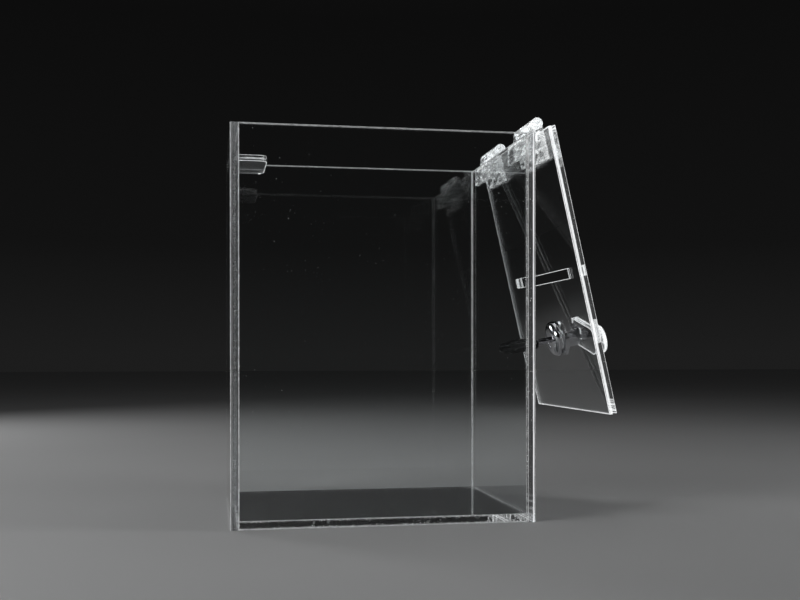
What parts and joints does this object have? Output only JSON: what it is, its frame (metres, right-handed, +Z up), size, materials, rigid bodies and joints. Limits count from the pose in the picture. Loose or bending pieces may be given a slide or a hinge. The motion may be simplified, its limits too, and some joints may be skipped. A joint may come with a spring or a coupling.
{
  "type": "donation box",
  "caption": "Clear acrylic collection box with an open top, a side-hinged slotted lid, clear hinges and a keyed cam lock that hooks under an inner tongue.",
  "frame": {"origin": "centre of the underside of the box", "axes": "+Z up, +X towards the hinged side, -Y towards the front; the lid hangs open at rest"},
  "size_m": [0.2581, 0.15, 0.2567],
  "materials": {
    "clear_acrylic": "polished clear sheet",
    "hinge_acrylic": "moulded clear plastic, slightly frosted",
    "chrome": "bright plated",
    "steel": "zinc plated",
    "brass": "stamped",
    "black_plastic": "moulded satin"
  },
  "bodies": {
    "box": {"front_panel": "clear_acrylic", "back_panel": "clear_acrylic", "left_panel": "clear_acrylic", "right_panel": "clear_acrylic", "base_panel": "clear_acrylic", "latch_keeper": "clear_acrylic", "front_hinge_wall_leaf": "hinge_acrylic", "front_hinge_pin": "hinge_acrylic", "rear_hinge_wall_leaf": "hinge_acrylic", "rear_hinge_pin": "hinge_acrylic"},
    "lid": {"lid_panel": "clear_acrylic", "front_hinge_lid_leaf": "hinge_acrylic", "rear_hinge_lid_leaf": "hinge_acrylic", "lock_housing": "chrome", "lock_washer": "steel", "lock_nut": "steel"},
    "lock_cylinder": {"lock_plug": "chrome", "lock_wafers": "brass", "cam_stop_washer": "steel", "lock_cam": "clear_acrylic", "cam_spring_washer": "steel", "cam_nut": "steel", "key_blade": "steel", "key_bow": "black_plastic"}
  },
  "joints": [
    {"name": "lid_hinge", "type": "hinge", "parent": "box", "child": "lid", "pos_m": [0.099, 0, 0.2531], "axis": [0, -1, 0], "range_deg": [0, 257.32]},
    {"name": "lock_turn", "type": "hinge", "parent": "lid", "child": "lock_cylinder", "pos_m": [0.13285, 0, 0.1167], "axis": [0.9756, 0, 0.2194], "range_deg": [-15, 75]}
  ]
}
